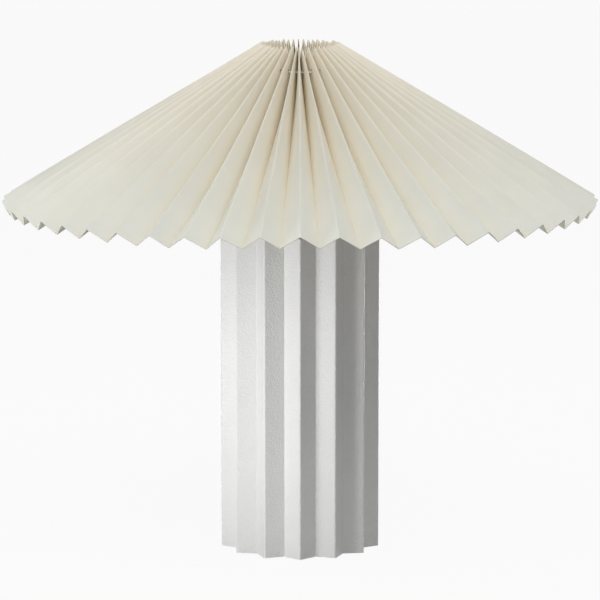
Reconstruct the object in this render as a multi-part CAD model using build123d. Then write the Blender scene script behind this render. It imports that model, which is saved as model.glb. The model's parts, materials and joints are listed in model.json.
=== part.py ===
from build123d import *
from math import atan2, cos, hypot, pi, radians, sin, sqrt
import os

os.makedirs("parts", exist_ok=True)

# A pleated table lamp, in millimetres. The origin is on the floor under the middle of
# the column, +Z is up and the front of the lamp faces -Y. Angles are in degrees from the
# front, anticlockwise as seen from above.

# Folded sheet column: a star-shaped tube with sharp outer ridges and valleys between them.
ridge_count = 14
ridge_radius = 68.9
valley_radius = 58.0
column_height = 270.0
sheet = 1.2
inside_bend = 0.4

# Weld blocks inside the column, which the base plate and the top plate are screwed to.
block_count = 4
block_reach = 10.0
block_width = 10.0
block_height = 8.0

# Base plate, floor pads and ballast.
plate_clearance = 0.4
base_plate_thickness = 3.0
pad_radius = 8.0
pad_thickness = 3.0
pad_circle_radius = 38.0
pad_count = 4
column_floor_gap = 1.5
ballast_radius = 43.0
ballast_height = 24.0
ballast_edge = 1.5

# Fasteners. A hole is larger than its screw by the screw clearance.
screw_clearance = 0.15
plate_screw_radius = 2.0
plate_screw_length = 9.0
plate_screw_head_radius = 4.0
plate_screw_head = 2.2
ballast_bolt_radius = 4.0
ballast_bolt_across_flats = 13.0
ballast_bolt_head = 5.3
washer_thickness = 1.5
washer_margin = 4.0
slot_width = 1.0

# Rubber grommet where the supply cable leaves a rear facet of the column.
grommet_height = 22.0
cable_bore_radius = 3.5
grommet_neck_radius = 4.6
grommet_flange_radius = 6.2
grommet_flange = 1.6

# Top plate, recessed in the column, with the hollow threaded tube that holds the lampholder.
top_plate_thickness = 2.0
top_plate_recess = 1.5
nipple_radius = 5.0
nipple_bore_radius = 3.8
nipple_below_plate = 10.0
nipple_nut_across_flats = 14.0
nipple_nut_thickness = 4.0
bush_flange = 1.0
bush_depth = 4.0
bush_wall = 0.8

# Lampholder for a 27 mm Edison screw bulb.
holder_radius = 19.8
holder_wall = 2.2
holder_cap_height = 18.0
holder_body_height = 32.0
holder_floor = 2.5
collar_radius = 8.5
collar_height = 12.0
collar_gap = 1.0
block_overlap = 6.0
contact_block_height = 10.0
contact_block_gap = 0.2
body_ledge = 2.0
body_lip = 2.5
strip_thickness = 0.5
strip_width = 4.0
contact_rise = 1.4
tongue_reach = 11.0
terminal_radius = 1.5
terminal_head_radius = 2.6
terminal_head = 1.8
terminal_length = 6.0
lock_screw_radius = 1.5
lock_screw_height = 6.0

# Two threaded rings that clamp the shade carrier on the lampholder.
ring_seat_height = 34.0
ring_thread_gap = 0.1
ring_flange_radius = 26.0
ring_flange = 1.8
ring_skirt_radius = 23.0
ring_skirt = 3.2

# Wire carrier under the shade: a hub, bent arms and the ring that the folds rest on.
hub_thickness = 1.5
hub_radius = 31.0
arm_count = 3
arm_wire_radius = 1.5
arm_bend = 8.0
seat_wire_radius = 1.75
carrier_rise = 87.8
shade_clearance = 0.3

# Pleated shade: one long strip, folded to and fro and closed to a shallow cone.
pleat_count = 50
facet_width = 19.3
strip_width_flat = 254.3
rim_radius = 250.0
mouth_radius = 32.8
paper_thickness = 0.5
paper_stations = (0.0, 0.14, 0.4, 1.0)
seat_distance = 30.0

# Cord that gathers the pleats, threaded through a punched hole in every facet.
cord_radius = 0.7
cord_distance = 25.0
cord_depth = 8.0
punched_radius = 1.5
punch_depth = 1.0
knot_radius = 1.1

# Bulb with a 27 mm screw cap, a blown glass envelope and light strips inside.
cap_radius = 13.1
cap_sleeve = 23.0
cap_wall = 0.4
cap_running_gap = 0.35
tip_radius = 4.6
tip_thickness = 1.2
tip_edge = 0.4
tip_gap = 0.3
tip_joint_gap = 0.05
insulator_height = 1.8
insulator_shoulder = 1.0
bulb_length = 104.0
glass_radius = 30.0
neck_radius = 12.6
neck_length = 4.0
neck_rise = 1.0
glass_wall = 0.8
stem_foot_radius = 6.5
stem_tip_radius = 1.4
stem_height = 60.0
stem_overhang = 2.0
strip_light_count = 4
strip_light_radius = 0.9
strip_light_length = 34.0
strip_light_circle_radius = 8.5
lead_wire_radius = 0.4

# Heights that follow from the sizes above.
base_plate_top = pad_thickness + base_plate_thickness
column_top = column_floor_gap + column_height
top_plate_top = column_top - top_plate_recess
top_plate_bottom = top_plate_top - top_plate_thickness
cap_top = top_plate_top + holder_cap_height
holder_rim = cap_top + holder_body_height
contact_block_bottom = cap_top - block_overlap
contact_block_top = contact_block_bottom + contact_block_height
tip_bottom = contact_block_top + strip_thickness + contact_rise + tip_gap
tip_top = tip_bottom + tip_thickness
insulator_bottom = tip_top + tip_joint_gap
sleeve_bottom = insulator_bottom + insulator_height
sleeve_top = sleeve_bottom + cap_sleeve
bulb_top = tip_bottom + bulb_length
hub_bottom = top_plate_top + ring_seat_height
hub_middle = hub_bottom + hub_thickness / 2
seat_height = hub_middle + carrier_rise
shell_radius = cap_radius + cap_running_gap


def polar(radius, angle, height=0.0):
    """The point at a radius and an angle from the front."""
    return Vector(radius * sin(radians(angle)), -radius * cos(radians(angle)), height)


def turned(*outline):
    """The solid that an outline of (radius, height) points makes when turned about Z."""
    points = [(radius, 0, height) for radius, height in outline]
    return revolve(make_face(Polyline(*points, close=True)), Axis.Z)


def tube(outer, inner, bottom, top):
    """A straight round tube, or a disc with a hole."""
    return turned((inner, bottom), (outer, bottom), (outer, top), (inner, top))


def rod(radius, start, end):
    """A straight round rod between two points."""
    start, end = Vector(start), Vector(end)
    frame = Plane(origin=start, z_dir=end - start)
    return frame * extrude(Circle(radius), (end - start).length)


def hexagon(across_flats, bottom, height, hole_radius=0.0):
    """A hexagonal nut or screw head that stands on the given height."""
    outline = RegularPolygon(across_flats / 2, 6, major_radius=False)
    body = extrude(outline, height)
    if hole_radius:
        body -= Cylinder(hole_radius, 3 * height)
    return Pos(0, 0, bottom) * body


def slotted_screw(radius, length, head_radius, head):
    """A screw with its head above Z = 0, its shank below and a slot across the head."""
    crown = head * 0.35
    body = turned((0, 0), (head_radius, 0), (head_radius, head - crown),
                  (head_radius - crown, head), (0, head))
    body += Pos(0, 0, -length / 2) * Cylinder(radius, length)
    return body - Pos(0, 0, head) * Box(3 * head_radius, slot_width, head)


def save(name, *solids):
    """Write one node, whose copies stay separate solids."""
    export_step(solids[0] if len(solids) == 1 else Compound(children=list(solids)),
                f"parts/{name}.step")


# Column and base


def corner_half_angles():
    """Half the angle between two facets at a ridge and at a valley, in radians."""
    step = pi / ridge_count
    at_ridge = atan2(valley_radius * sin(step), ridge_radius - valley_radius * cos(step))
    return at_ridge, at_ridge + step


def star_outline(inset, ridge_bend, valley_bend):
    """The column's star outline, moved inwards by an inset, with rounded corners."""
    at_ridge, at_valley = corner_half_angles()
    radii = (ridge_radius - inset / sin(at_ridge), valley_radius - inset / sin(at_valley))
    corners = [polar(radii[turn % 2], 180 * turn / ridge_count)
               for turn in range(2 * ridge_count)]
    outline = make_face(Polyline(*corners, close=True))
    middle = sum(radii) / 2
    ridges = [v for v in outline.vertices() if hypot(v.X, v.Y) > middle]
    outline = fillet(ridges, ridge_bend)
    valleys = [v for v in outline.vertices()
               if abs(hypot(v.X, v.Y) - radii[1]) < middle / 1000]
    return fillet(valleys, valley_bend)


def star_plate(bottom, thickness):
    """A flat plate that fits inside the column with the plate clearance."""
    outline = star_outline(sheet + plate_clearance, inside_bend, inside_bend + sheet)
    return Pos(0, 0, bottom) * extrude(outline, thickness)


def block_angles():
    """The angles of the valleys that hold a weld block, spread evenly round the column."""
    valleys = [turn * ridge_count // block_count for turn in range(block_count)]
    return [180 * (2 * valley + 1) / ridge_count for valley in valleys]


def block_screw_places():
    """Radius and angles of the plate screws, in the middle of each weld block."""
    valley_inside = valley_radius - sheet / sin(corner_half_angles()[1])
    return valley_inside - block_reach / 2, block_angles()


def weld_blocks(bottom):
    """Blocks on the inside of four valleys, with a screw hole through each."""
    radius, angles = block_screw_places()
    middle_of_sheet = star_outline(sheet / 2, inside_bend + sheet / 2, inside_bend + sheet / 2)
    limit = Pos(0, 0, bottom) * extrude(middle_of_sheet, block_height)
    blocks = []
    for angle in angles:
        place = Location(polar(radius, angle, bottom + block_height / 2), (0, 0, angle - 90))
        stock = place * Pos(block_reach / 4, 0, 0) * Box(1.5 * block_reach, block_width,
                                                         block_height)
        hole = place * Cylinder(plate_screw_radius + screw_clearance, 2 * block_height)
        blocks.append((stock & limit) - hole)
    return blocks


def rear_facet():
    """The plane on the middle of the facet beside the rear ridge, facing outwards."""
    ridge = polar(ridge_radius, 180)
    valley = polar(valley_radius, 180 - 180 / ridge_count)
    along = (ridge - valley).normalized()
    outwards = Vector(-along.Y, along.X, 0)
    if outwards.dot(ridge) < 0:
        outwards = outwards * -1
    middle = (ridge + valley) * 0.5 + Vector(0, 0, grommet_height)
    return Plane(origin=middle, x_dir=along, z_dir=outwards)


def column_shell():
    outer = extrude(star_outline(0, inside_bend + sheet, inside_bend), column_height)
    inner = extrude(star_outline(sheet, inside_bend, inside_bend + sheet), column_height)
    shell = Pos(0, 0, column_floor_gap) * (outer - inner)
    for bottom in (base_plate_top, top_plate_bottom - block_height):
        for block in weld_blocks(bottom):
            shell += block
    return shell - rear_facet() * Cylinder(grommet_neck_radius, 6 * sheet)


def drilled_plate(bottom, thickness, centre_hole_radius):
    """A star plate with a hole in its middle and one for each plate screw."""
    middle = bottom + thickness / 2
    plate = star_plate(bottom, thickness)
    plate -= Pos(0, 0, middle) * Cylinder(centre_hole_radius, 2 * thickness)
    radius, angles = block_screw_places()
    for angle in angles:
        plate -= Pos(polar(radius, angle, middle)) * Cylinder(
            plate_screw_radius + screw_clearance, 2 * thickness)
    return plate


def base_plate():
    return drilled_plate(pad_thickness, base_plate_thickness,
                         ballast_bolt_radius + screw_clearance)


def foot_pads():
    pad = Pos(0, 0, pad_thickness / 2) * Cylinder(pad_radius, pad_thickness)
    return [Pos(polar(pad_circle_radius, 360 * (turn + 0.5) / pad_count)) * pad
            for turn in range(pad_count)]


def plate_screws(height, upside_down):
    """Four screws whose heads bear on a plate at the given height."""
    radius, angles = block_screw_places()
    screw = slotted_screw(plate_screw_radius, plate_screw_length,
                          plate_screw_head_radius, plate_screw_head)
    flip = Rot(180, 0, 0) if upside_down else Rot(0, 0, 0)
    return [Pos(polar(radius, angle, height)) * flip * screw for angle in angles]


def ballast_weight():
    disc = turned((ballast_bolt_radius + screw_clearance, 0), (ballast_radius, 0),
                  (ballast_radius, ballast_height - ballast_edge),
                  (ballast_radius - ballast_edge, ballast_height),
                  (ballast_bolt_radius + screw_clearance, ballast_height))
    return Pos(0, 0, base_plate_top) * disc


def ballast_washer():
    bottom = base_plate_top + ballast_height
    return tube(ballast_bolt_radius + washer_margin, ballast_bolt_radius + screw_clearance,
                bottom, bottom + washer_thickness)


def ballast_bolt():
    head_bottom = base_plate_top + ballast_height + washer_thickness
    shank_bottom = pad_thickness + screw_clearance
    head = hexagon(ballast_bolt_across_flats, head_bottom, ballast_bolt_head)
    return head + rod(ballast_bolt_radius, (0, 0, shank_bottom),
                      (0, 0, head_bottom + ballast_bolt_head / 2))


def cable_grommet():
    """A bush with a flange on each side of the sheet, on the axis of the rear facet."""
    inner, outer = -sheet - grommet_flange, grommet_flange
    bush = turned((cable_bore_radius, inner), (grommet_flange_radius, inner),
                  (grommet_flange_radius, -sheet), (grommet_neck_radius, -sheet),
                  (grommet_neck_radius, 0), (grommet_flange_radius, 0),
                  (grommet_flange_radius - 0.5 * grommet_flange, outer),
                  (cable_bore_radius, outer))
    return rear_facet() * bush


# Lampholder


def top_plate():
    return drilled_plate(top_plate_bottom, top_plate_thickness,
                         nipple_radius + screw_clearance)


def holder_nipple():
    return tube(nipple_radius, nipple_bore_radius, top_plate_bottom - nipple_below_plate,
                top_plate_top + collar_height - collar_gap)


def nipple_washer():
    return tube(nipple_radius + washer_margin, nipple_radius + screw_clearance,
                top_plate_bottom - washer_thickness, top_plate_bottom)


def nipple_nut():
    bottom = top_plate_bottom - washer_thickness - nipple_nut_thickness
    return hexagon(nipple_nut_across_flats, bottom, nipple_nut_thickness, nipple_radius)


def nipple_bush():
    """A flanged sleeve in the lower end of the threaded tube, which guards the cable."""
    end = top_plate_bottom - nipple_below_plate
    return turned((nipple_bore_radius - bush_wall, end - bush_flange),
                  (nipple_radius, end - bush_flange), (nipple_radius, end),
                  (nipple_bore_radius, end), (nipple_bore_radius, end + bush_depth),
                  (nipple_bore_radius - bush_wall, end + bush_depth))


def lock_screw_places():
    return nipple_radius, top_plate_top + lock_screw_height


def holder_cap():
    """A cup with a threaded collar in its floor and a side hole for the lock screw."""
    outer, inner = holder_radius, holder_radius - holder_wall
    low, high = top_plate_top, cap_top
    cup = turned((nipple_radius, low), (outer - holder_wall, low), (outer, low + holder_wall),
                 (outer, high), (inner, high), (inner, low + holder_floor),
                 (collar_radius, low + holder_floor), (collar_radius, low + collar_height),
                 (nipple_radius, low + collar_height))
    start, height = lock_screw_places()
    return cup - rod(lock_screw_radius, (start - lock_screw_radius, 0, height),
                     (outer + lock_screw_radius, 0, height))


def holder_lock_screw():
    start, height = lock_screw_places()
    length = collar_radius - nipple_radius
    screw = rod(lock_screw_radius, (start, 0, height), (start + length, 0, height))
    slot = Box(slot_width, slot_width / 2, 2 * lock_screw_radius)
    return screw - Pos(start + length, 0, height) * slot


def contact_block():
    """The insulating block, with holes for the terminals and a slot for the side strip."""
    radius = holder_radius - holder_wall - contact_block_gap
    block = turned((0, contact_block_bottom), (radius, contact_block_bottom),
                   (radius, contact_block_top), (0, contact_block_top))
    for x in terminal_places():
        block -= Pos(x, 0, contact_block_bottom) * Cylinder(terminal_radius,
                                                            2 * terminal_length)
    slot = Box(strip_width + 2 * contact_block_gap, strip_thickness + 2 * contact_block_gap,
               3 * contact_block_height)
    return block - Pos(0, side_strip_place(), contact_block_top) * slot


def terminal_places():
    reach = (collar_radius + holder_radius - holder_wall) / 2
    return -reach, reach


def terminal_screws():
    screw = slotted_screw(terminal_radius, terminal_length, terminal_head_radius,
                          terminal_head)
    return [Pos(x, 0, contact_block_bottom) * Rot(180, 0, 0) * screw
            for x in terminal_places()]


def centre_contact():
    """A bent spring strip that rises under the tip of the bulb."""
    low, high = contact_block_top, contact_block_top + contact_rise
    under_side = [(-tongue_reach, low), (-tongue_reach / 3, low),
                  (-tip_radius / 4, high), (tip_radius / 2, high)]
    outline = under_side + [(x, z + strip_thickness) for x, z in reversed(under_side)]
    profile = make_face(Polyline(*[(x, 0, z) for x, z in outline], close=True))
    return Pos(0, strip_width / 2, 0) * extrude(profile, strip_width, dir=(0, -1, 0))


def side_strip_place():
    return shell_radius + cap_wall + strip_thickness / 2


def side_contact():
    """A straight strip beside the screw shell, which passes down into the block."""
    bottom = contact_block_bottom + strip_width / 2
    top = contact_block_top + contact_block_height
    strip = Box(strip_width, strip_thickness, top - bottom)
    return Pos(0, side_strip_place(), (top + bottom) / 2) * strip


def screw_shell():
    return tube(shell_radius + cap_wall, shell_radius, contact_block_top,
                holder_rim - body_lip / 2)


def holder_body():
    """The outer barrel: it presses on the block with a ledge and ends in a lip."""
    outer, inner = holder_radius, holder_radius - holder_wall
    ledge_radius = side_strip_place() + 2 * strip_thickness
    lip_radius = shell_radius + cap_wall + contact_block_gap
    ledge_top = contact_block_top + body_ledge
    return turned((inner, cap_top), (outer, cap_top), (outer, holder_rim),
                  (lip_radius, holder_rim), (lip_radius, holder_rim - body_lip),
                  (inner, holder_rim - body_lip), (inner, ledge_top),
                  (ledge_radius, ledge_top), (ledge_radius, contact_block_top),
                  (inner, contact_block_top))


def shade_ring(face_height, direction):
    """A threaded ring whose flange clamps the hub from below (-1) or above (1)."""
    inner = holder_radius + ring_thread_gap
    return turned((inner, face_height), (ring_flange_radius, face_height),
                  (ring_flange_radius, face_height + direction * ring_flange),
                  (ring_skirt_radius, face_height + direction * ring_flange),
                  (ring_skirt_radius, face_height + direction * (ring_flange + ring_skirt)),
                  (inner, face_height + direction * (ring_flange + ring_skirt)))


# Shade


def slope_direction():
    """Radius and height gained for each millimetre down an outer ridge."""
    outwards = (rim_radius - mouth_radius) / strip_width_flat
    return outwards, -sqrt(1 - outwards ** 2)


def half_pitch(radius):
    return radius * sin(pi / pleat_count)


def seat_offset():
    """Radius and height of the seat ring's wire, from the top end of a ridge."""
    outwards, down = slope_direction()
    ridge_out = mouth_radius + seat_distance * outwards
    reach = pleat_depth(seat_distance) + seat_wire_radius + shade_clearance
    return ridge_out + reach * down, seat_distance * down - reach * outwards


def pleat_depth(distance):
    """How deep the folds lie under the ridges, at a distance down the slope."""
    radius = mouth_radius + distance * slope_direction()[0]
    return sqrt(facet_width ** 2 - half_pitch(radius) ** 2)


def mouth_height():
    """The height of the ridges' top ends, with the folds seated on the carrier."""
    return seat_height - seat_offset()[1]


def under_ridge(distance, depth):
    """Radius and height of a point down the slope and a depth under a ridge."""
    outwards, down = slope_direction()
    radius = mouth_radius + distance * outwards + depth * down
    return radius, mouth_height() + distance * down - depth * outwards


def strip_layers(station):
    """Upper and lower side of the strip at a ridge and at a fold, for one station."""
    distance = station * strip_width_flat
    depth = pleat_depth(distance)
    radius = mouth_radius + distance * slope_direction()[0]
    mitre = min(paper_thickness * facet_width / half_pitch(radius), 0.4 * depth)
    ridge = under_ridge(distance, 0), under_ridge(distance, mitre)
    fold = under_ridge(distance, depth - mitre), under_ridge(distance, depth)
    return ridge, fold


def pleated_shade():
    """The strip as one closed skin of flat triangles, with a round hole in each facet."""
    lines = 2 * pleat_count
    upper, lower = [], []
    for station in paper_stations:
        layers = strip_layers(station)
        upper.append([polar(layers[line % 2][0][0], 180 * line / pleat_count,
                            layers[line % 2][0][1]) for line in range(lines)])
        lower.append([polar(layers[line % 2][1][0], 180 * line / pleat_count,
                            layers[line % 2][1][1]) for line in range(lines)])
    faces = []

    def patch(ridge_a, ridge_b, fold_a, fold_b):
        for corners in ((ridge_a, fold_b, ridge_b), (ridge_a, fold_a, fold_b)):
            faces.append(Face(Wire.make_polygon(corners)))

    for line in range(lines):
        ridge, fold = (line, line + 1) if line % 2 == 0 else (line + 1, line)
        ridge, fold = ridge % lines, fold % lines
        for side in (upper, lower):
            for row in range(len(paper_stations) - 1):
                patch(side[row][ridge], side[row + 1][ridge],
                      side[row][fold], side[row + 1][fold])
        for row in (0, -1):
            patch(upper[row][ridge], lower[row][ridge], upper[row][fold], lower[row][fold])
    return Solid(Shell(faces)).cut(*punches())


def punches():
    """A short round punch through each facet, on the circle that the cord follows."""
    radius, height = under_ridge(cord_distance, cord_depth)
    from_ridge = 180 / pleat_count * cord_depth / pleat_depth(cord_distance)
    tools = []
    for turn in range(pleat_count):
        for side in (-1, 1):
            angle = 360 * turn / pleat_count + side * from_ridge
            middle, along = polar(radius, angle, height), polar(1, angle + 90)
            tools.append(rod(punched_radius, middle - along * punch_depth,
                             middle + along * punch_depth))
    return tools


def gather_cord():
    """The tied loop through the punched holes, with its knot in a rear pleat."""
    radius, height = under_ridge(cord_distance, cord_depth)
    section = Plane(origin=polar(radius, 180, height), z_dir=(-1, 0, 0)) * Circle(cord_radius)
    open_angle = 360 * knot_radius / (2 * pi * radius)
    loop = revolve(section, Axis.Z, 360 - open_angle)
    middle = polar(radius, 180 - open_angle / 2, height)
    along = polar(knot_radius, 90 - open_angle / 2)
    return loop + rod(knot_radius, middle - along, middle + along)


def shade_carrier():
    seat_radius = seat_offset()[0]
    hub = tube(hub_radius, holder_radius + ring_thread_gap, hub_bottom,
               hub_bottom + hub_thickness)
    carrier = hub + Pos(0, 0, seat_height) * Torus(seat_radius, seat_wire_radius)
    for turn in range(arm_count):
        angle = 180 + 360 * turn / arm_count
        start = polar(hub_radius - 2 * arm_wire_radius, angle, hub_middle)
        path = FilletPolyline(start, polar(seat_radius, angle, hub_middle),
                              polar(seat_radius, angle, seat_height), radius=arm_bend)
        section = Plane(origin=start, z_dir=polar(1, angle)) * Circle(arm_wire_radius)
        carrier += sweep(section, path)
    return carrier


# Bulb


def envelope_outline(inset):
    """The glass outline: a straight neck, a hollow shoulder and a round top."""
    crown = bulb_top - glass_radius
    neck_bottom = sleeve_top - neck_length
    shoulder_start = sleeve_top + neck_rise
    rise = crown - shoulder_start
    shoulder = ((rise ** 2 + neck_radius ** 2 - glass_radius ** 2)
                / (2 * (glass_radius - neck_radius)))
    span = glass_radius + shoulder
    toward = Vector((neck_radius + shoulder) / span, 0, -rise / span)
    join = Vector(0, 0, crown) + toward * (glass_radius - inset)
    neck = neck_radius - inset
    half_turn = atan2(rise, neck_radius + shoulder) / 2
    shoulder_middle = Vector(neck_radius + shoulder - (shoulder + inset) * cos(half_turn), 0,
                             shoulder_start + (shoulder + inset) * sin(half_turn))
    side = Vector(glass_radius - inset, 0, crown)
    return [Line((0, 0, neck_bottom + inset), (neck, 0, neck_bottom + inset)),
            Line((neck, 0, neck_bottom + inset), (neck, 0, shoulder_start)),
            ThreePointArc((neck, 0, shoulder_start), shoulder_middle, join),
            ThreePointArc(join, side, (0, 0, bulb_top - inset)),
            Line((0, 0, bulb_top - inset), (0, 0, neck_bottom + inset))]


def bulb_glass():
    outer = revolve(make_face(envelope_outline(0)), Axis.Z)
    inner = revolve(make_face(envelope_outline(glass_wall)), Axis.Z)
    return outer - inner


def bulb_cap():
    """The thin screw cap, drawn in at its lower end to hold the insulator."""
    inner = cap_radius - cap_wall
    return tube(cap_radius, inner, sleeve_bottom, sleeve_top)


def bulb_insulator():
    bottom, top = insulator_bottom, sleeve_bottom
    inner = cap_radius - cap_wall
    return turned((0, bottom), (tip_radius, bottom), (inner - insulator_shoulder, top),
                  (inner, top), (inner, top + insulator_height),
                  (0, top + insulator_height))


def bulb_tip():
    bottom, top = tip_bottom, tip_top
    return turned((0, bottom), (tip_radius / 2, bottom), (tip_radius, top - tip_edge),
                  (tip_radius, top), (0, top))


def bulb_stem():
    """The glass mount that carries the light strips, on the floor of the envelope."""
    bottom = sleeve_top - neck_length + glass_wall
    top = bottom + stem_height
    waist = top - strip_light_length - 2 * stem_overhang
    return turned((0, bottom), (stem_foot_radius, bottom),
                  (stem_foot_radius / 2, (bottom + waist) / 2), (stem_tip_radius, waist),
                  (stem_tip_radius, top), (0, top))


def strip_light_ends():
    """Lower and upper ends of the light strips round the stem."""
    top = sleeve_top - neck_length + glass_wall + stem_height - stem_overhang
    bottom = top - strip_light_length
    angles = [360 * (turn + 0.5) / strip_light_count for turn in range(strip_light_count)]
    return [(polar(strip_light_circle_radius, angle, bottom),
             polar(strip_light_circle_radius, angle, top))
            for angle in angles]


def bulb_light_strips():
    return [rod(strip_light_radius, low, high) for low, high in strip_light_ends()]


def bulb_wires():
    """Short wires that run from the stem to each end of the light strips."""
    wires = []
    for ends in strip_light_ends():
        for end in ends:
            level = end.Z + (lead_wire_radius if end is ends[1] else -lead_wire_radius)
            outwards = Vector(end.X, end.Y, 0).normalized()
            start = outwards * stem_tip_radius + Vector(0, 0, level)
            wires.append(rod(lead_wire_radius, start, Vector(end.X, end.Y, level)))
    return wires


save("column_shell", column_shell())
save("base_plate", base_plate())
save("foot_pads", *foot_pads())
save("base_screws", *plate_screws(pad_thickness, True))
save("ballast_weight", ballast_weight())
save("ballast_washer", ballast_washer())
save("ballast_bolt", ballast_bolt())
save("cable_grommet", cable_grommet())
save("top_plate", top_plate())
save("top_screws", *plate_screws(top_plate_top, False))
save("holder_nipple", holder_nipple())
save("nipple_washer", nipple_washer())
save("nipple_nut", nipple_nut())
save("nipple_bush", nipple_bush())
save("holder_cap", holder_cap())
save("holder_lock_screw", holder_lock_screw())
save("contact_block", contact_block())
save("terminal_screws", *terminal_screws())
save("centre_contact", centre_contact())
save("side_contact", side_contact())
save("screw_shell", screw_shell())
save("holder_body", holder_body())
save("lower_shade_ring", shade_ring(hub_bottom, -1))
save("upper_shade_ring", shade_ring(hub_bottom + hub_thickness, 1))
save("shade_carrier", shade_carrier())
save("pleated_shade", pleated_shade())
save("gather_cord", gather_cord())
save("bulb_tip", bulb_tip())
save("bulb_insulator", bulb_insulator())
save("bulb_cap", bulb_cap())
save("bulb_glass", bulb_glass())
save("bulb_stem", bulb_stem())
save("bulb_wires", *bulb_wires())
save("bulb_light_strips", *bulb_light_strips())
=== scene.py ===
import json
import math
import random

import bmesh
import bpy
from bpy.props import FloatProperty, FloatVectorProperty, IntProperty, PointerProperty
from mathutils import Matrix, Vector


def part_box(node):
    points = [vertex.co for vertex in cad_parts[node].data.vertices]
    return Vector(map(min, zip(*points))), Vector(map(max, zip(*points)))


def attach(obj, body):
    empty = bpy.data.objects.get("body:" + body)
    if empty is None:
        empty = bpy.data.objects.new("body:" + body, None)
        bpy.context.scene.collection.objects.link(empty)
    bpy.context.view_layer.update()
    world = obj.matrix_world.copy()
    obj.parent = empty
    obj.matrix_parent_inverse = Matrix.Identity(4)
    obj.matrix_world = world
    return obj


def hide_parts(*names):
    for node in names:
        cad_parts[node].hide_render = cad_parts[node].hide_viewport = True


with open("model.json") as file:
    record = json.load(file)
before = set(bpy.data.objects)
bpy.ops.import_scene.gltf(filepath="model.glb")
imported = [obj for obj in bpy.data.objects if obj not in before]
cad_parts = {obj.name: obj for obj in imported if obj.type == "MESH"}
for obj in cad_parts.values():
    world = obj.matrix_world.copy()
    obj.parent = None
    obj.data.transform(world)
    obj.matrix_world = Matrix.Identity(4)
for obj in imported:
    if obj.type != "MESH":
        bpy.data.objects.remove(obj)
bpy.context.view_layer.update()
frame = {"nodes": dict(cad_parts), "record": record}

bl_info = {
    "name": "Pleated table lamp",
    "version": (1, 0, 0),
    "blender": (4, 5, 0),
    "location": "3D View > Sidebar > Table lamp",
    "description": "Folds the shade, threads its cord, dresses the column, the lampholder and "
                   "the bulb, and sets up the studio",
    "category": "Object",
}

# Sizes are in metres and angles in degrees from the front, anticlockwise as seen from above.
RIM_RADIUS = -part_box("pleated_shade")[0].y
MOUTH_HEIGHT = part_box("pleated_shade")[1].z
COLUMN_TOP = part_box("column_shell")[1].z
NODE_SLOTS = {part["node"]: part["material_slot"] for part in frame["record"]["subparts"]}


def length(name, text, default):
    """A property for a length in metres."""
    return FloatProperty(name=name, description=text, default=default, min=0.0,
                         precision=5, subtype="DISTANCE", unit="LENGTH")


def colour(name, text, default):
    """A property for a linear colour."""
    return FloatVectorProperty(name=name, description=text, default=default, size=3,
                               min=0.0, max=1.0, subtype="COLOR")


def number(name, text, default):
    """A property for a plain number."""
    return FloatProperty(name=name, description=text, default=default)


class ShadeSettings(bpy.types.PropertyGroup):
    """Sizes and colours of the pleated strip and of the cord that gathers it."""

    pleats: IntProperty(name="Pleats", description="Outer ridges round the shade",
                        default=50, min=8)
    facet_width: length("Facet width", "From one fold to the next, on the flat strip", 0.0193)
    strip_width: length("Strip width", "From the mouth to the rim, on the flat strip", 0.2543)
    mouth_radius: length("Mouth radius", "Of the ridges' top ends", 0.0328)
    paper: length("Paper thickness", "Of the laminated strip", 0.0005)
    fold_radius: length("Fold radius", "Of the paper at each fold", 0.0003)
    rim_lift: length("Rim lift", "How far the rim stands up all round", 0.0044)
    rim_tilt: length("Rim tilt", "How far the rim tilts, up at the back", 0.0031)
    mouth_lift: length("Mouth lift", "How far the cord draws the mouth up", 0.0018)
    mouth_tilt: length("Mouth tilt", "How far the mouth tilts, up at the back", 0.0010)
    front_lift: length("Front lift", "How far the rim's front rises besides", 0.0032)
    tip_spread: length("Tip spread", "How uneven the heights of the top ends are", 0.0005)
    lift_spread: number("Lift spread", "Half width of the raised front, in degrees", 17.0)
    left_lean: number("Left lean", "Half the left pleats' turn to the front, in degrees", 1.0)
    unevenness: number("Unevenness", "Spread of the folds about even places, in degrees", 0.16)
    cord_distance: length("Cord distance", "From the mouth, down the slope", 0.0232)
    cord_depth: length("Cord depth", "Under the ridges", 0.0080)
    punch_radius: length("Punch radius", "Of the holes for the cord", 0.0015)
    cord_radius: length("Cord radius", "Of the whole twisted cord", 0.0007)
    paper_colour: colour("Paper colour", "Laminate at the rim", (0.705, 0.705, 0.642))
    # The mouth colour is the paper painted lighter and warmer, a painted light that stands in for
    # the light bounced among the gathered pleats.
    mouth_colour_painted_light: colour("Mouth colour", "Laminate at the gathered top", (0.90, 0.825, 0.68))
    # The fold colour is painted shade, warmed like light bounced inside the deep folds.
    fold_painted_shade_colour: colour("Fold colour", "Laminate inside the valleys", (0.60, 0.47, 0.28))
    cord_colour: colour("Cord colour", "Twisted yarn", (0.93, 0.90, 0.80))


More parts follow.
